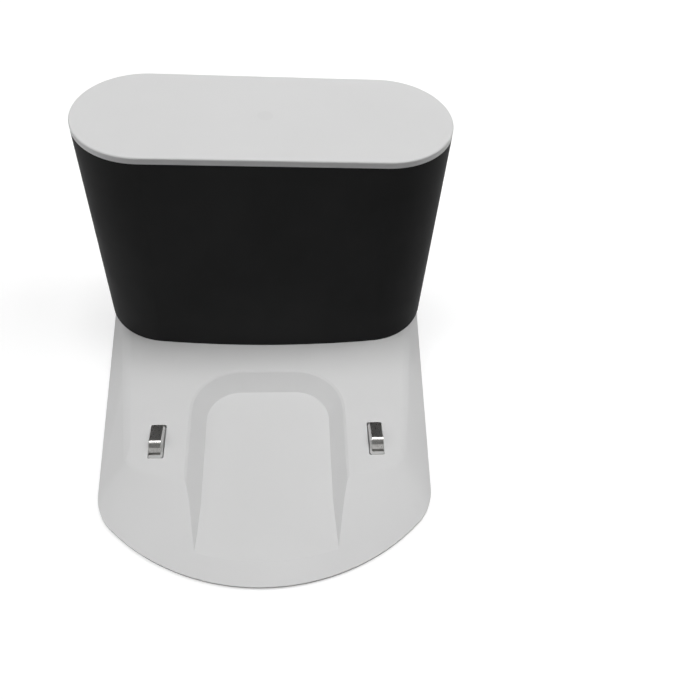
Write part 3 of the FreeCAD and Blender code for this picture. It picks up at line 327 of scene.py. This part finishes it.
def coil(name, low, high):
    """A coil spring that fills the box between two corners."""
    middle = (low + high) / 2
    wire_radius = SPRING_WIRE / 2
    coil_radius = (high.x - low.x - SPRING_WIRE) / 2
    start = Vector((middle.x, middle.y, low.z + wire_radius))
    rise = high.z - low.z - SPRING_WIRE
    steps = round(SPRING_TURNS * TURN_STEPS)
    shape = bmesh.new()
    rings = []
    for step in range(steps + 1):
        angle = math.tau * step / TURN_STEPS
        outward = Vector((math.cos(angle), math.sin(angle), 0))
        centre = start + UPWARD * (rise * step / steps) + outward * coil_radius
        ring = []
        for side in range(WIRE_SIDES):
            turn = math.tau * side / WIRE_SIDES
            way = outward * math.cos(turn) + UPWARD * math.sin(turn)
            ring.append(shape.verts.new(centre + way * wire_radius))
        rings.append(ring)
    for ring, after in zip(rings, rings[1:]):
        for i in range(WIRE_SIDES):
            j = (i + 1) % WIRE_SIDES
            face = shape.faces.new((ring[i], ring[j], after[j], after[i]))
            face.smooth = True
    shape.faces.new(rings[0])
    shape.faces.new(rings[-1])
    bmesh.ops.recalc_face_normals(shape, faces=shape.faces)
    return piece_from(shape, name, materials["spring_steel"])


for joint in joints:
    node = joint["deforming_nodes"][SPRING_ROW]["node"]
    low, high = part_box(node)
    spring = coil(f"{node}_wire", low, high)
    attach(spring, joint["parent"])
    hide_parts(node)
    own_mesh(spring)


def seen_rays(tree):
    """One where a ray shows a surface as such: to the camera, in a reflection or through glass."""
    rays = add(tree, "ShaderNodeLightPath").outputs
    seen = combined(tree, "MAXIMUM", rays["Is Camera Ray"], rays["Is Glossy Ray"])
    return combined(tree, "MAXIMUM", seen, rays["Is Transmission Ray"])


# Floor: white where it is seen, whiter far off, with the dock's own soft shadow left on it.
FLOOR_HALF = 3.0
FLOOR_GAP = 0.0001
FLOOR_TONE = 0.5
FLOOR_ROUGHNESS = 0.9
FLOOR_LIFT = 0.62
FADE_START = 0.25
FADE_END = 0.9
CORNER_SIGNS = ((-1, -1), (1, -1), (1, 1), (-1, 1))
floor_mesh = bpy.data.meshes.new("floor")
floor_corners = [(x * FLOOR_HALF, y * FLOOR_HALF, -FLOOR_GAP) for x, y in CORNER_SIGNS]
floor_mesh.from_pydata(floor_corners, [], [(0, 1, 2, 3)])
floor = bpy.data.objects.new("floor", floor_mesh)
scene.collection.objects.link(floor)
floor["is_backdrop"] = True
paper, tree, shader = new_material("studio_paper")
shader.inputs["Base Color"].default_value = (FLOOR_TONE, FLOOR_TONE, FLOOR_TONE, 1)
shader.inputs["Roughness"].default_value = FLOOR_ROUGHNESS
shader.inputs["Specular IOR Level"].default_value = 0.0
place = add(tree, "ShaderNodeTexCoord")
distance = add(tree, "ShaderNodeVectorMath", operation="LENGTH")
tree.links.new(place.outputs["Object"], distance.inputs[0])
fade = map_range(tree, distance.outputs["Value"], FADE_START, FADE_END, FLOOR_LIFT, 1.0)
lift = combined(tree, "MULTIPLY", seen_rays(tree), fade)
glow = add(tree, "ShaderNodeEmission")
glow.inputs["Color"].default_value = WHITE
tree.links.new(lift, glow.inputs["Strength"])
both = add(tree, "ShaderNodeAddShader")
tree.links.new(shader.outputs["BSDF"], both.inputs[0])
tree.links.new(glow.outputs["Emission"], both.inputs[1])
tree.links.new(both.outputs["Shader"], tree.nodes["Material Output"].inputs["Surface"])
floor_mesh.materials.append(paper)

# Room: white round the horizon, dark higher up, lower on the photographer's side, a soft light overhead.
# The stops are pairs of height and brightness; the front values shift them on the photographer's side.
ROOM_LIGHT = 0.01
ROOM_STOPS = [(0.0, 1.0), (0.36, 1.0), (0.5, 0.05), (0.75, 0.05), (0.95, 0.4), (1.0, 0.5)]
FRONT_START = -0.45
FRONT_FULL = -0.75
FRONT_DROP = 0.19
world = bpy.data.worlds.new("studio")
scene.world = world
world.use_nodes = True
tree = world.node_tree
backdrop = tree.nodes["Background"]
backdrop.inputs["Color"].default_value = WHITE
place = add(tree, "ShaderNodeTexCoord")
direction = add(tree, "ShaderNodeSeparateXYZ")
tree.links.new(place.outputs["Generated"], direction.inputs["Vector"])
front = map_range(tree, direction.outputs["Y"], FRONT_START, FRONT_FULL, 0.0, FRONT_DROP)
brightness = add(tree, "ShaderNodeValToRGB")
stops = brightness.color_ramp.elements
while len(stops) < len(ROOM_STOPS):
    stops.new(1.0)
for stop, (position, value) in zip(stops, ROOM_STOPS):
    stop.position = position
    stop.color = (value, value, value, 1)
tree.links.new(combined(tree, "ADD", direction.outputs["Z"], front), brightness.inputs["Fac"])
level = add(tree, "ShaderNodeMix", data_type="FLOAT")
level.inputs[NUMBER_A].default_value = ROOM_LIGHT
tree.links.new(seen_rays(tree), level.inputs[MIX_FACTOR])
tree.links.new(brightness.outputs["Color"], level.inputs[NUMBER_B])
tree.links.new(level.outputs[NUMBER_RESULT], backdrop.inputs["Strength"])

# Soft studio lamps, all turned to the dock: one overhead, two on the right, one on the left and a small
# one low behind.
LAMP_REACH = 1.2
LAMP_AIM = Vector((0, 0, 0))


def lamp(name, azimuth, elevation, size, watts):
    """A round lamp at an azimuth from the front, counted towards the right, and an elevation."""
    round_angle = math.radians(azimuth)
    up_angle = math.radians(elevation)
    way = Vector((math.sin(round_angle) * math.cos(up_angle),
                  -math.cos(round_angle) * math.cos(up_angle),
                  math.sin(up_angle)))
    data = bpy.data.lights.new(name, "AREA")
    data.shape = "DISK"
    data.size = size
    data.energy = watts
    item = bpy.data.objects.new(name, data)
    item.location = LAMP_AIM + way * LAMP_REACH
    item.rotation_mode = "QUATERNION"
    item.rotation_quaternion = (-way).to_track_quat("-Z", "Y")
    item.visible_camera = False
    scene.collection.objects.link(item)


lamp("overhead", azimuth=180, elevation=86, size=0.4, watts=6.35)
lamp("right_high", azimuth=90, elevation=60, size=0.6, watts=3.6)
lamp("right_low", azimuth=103, elevation=35, size=0.6, watts=1.6)
lamp("left_low", azimuth=282, elevation=35, size=0.6, watts=3.9)
lamp("back", azimuth=180, elevation=4, size=0.16, watts=5.0)

# Camera fitted to the photograph: place, heading, dip and roll in the dock's frame.
CAMERA_PLACE = Vector((0.00453, -0.17815, 0.2504))
CAMERA_DIP = 0.877
CAMERA_HEADING = 0.143
CAMERA_ROLL = 0.1059
FOCAL_PIXELS = 768.98
FRAME_PIXELS = 700
SENSOR_WIDTH = 36.0
NEAR_CLIP = 0.01
ahead = Vector((math.sin(CAMERA_HEADING) * math.cos(CAMERA_DIP),
                math.cos(CAMERA_HEADING) * math.cos(CAMERA_DIP),
                -math.sin(CAMERA_DIP)))
level_right = Vector((math.cos(CAMERA_HEADING), -math.sin(CAMERA_HEADING), 0))
level_up = level_right.cross(ahead)
right = level_right * math.cos(CAMERA_ROLL) + level_up * math.sin(CAMERA_ROLL)
up = level_up * math.cos(CAMERA_ROLL) - level_right * math.sin(CAMERA_ROLL)
camera_data = bpy.data.cameras.new("camera")
camera_data.sensor_width = SENSOR_WIDTH
camera_data.lens = FOCAL_PIXELS / FRAME_PIXELS * SENSOR_WIDTH
camera_data.clip_start = NEAR_CLIP
camera = bpy.data.objects.new("camera", camera_data)
turn = Matrix((right, up, -ahead)).transposed()
camera.matrix_world = Matrix.Translation(CAMERA_PLACE) @ turn.to_4x4()
scene.collection.objects.link(camera)
scene.camera = camera

low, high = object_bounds()
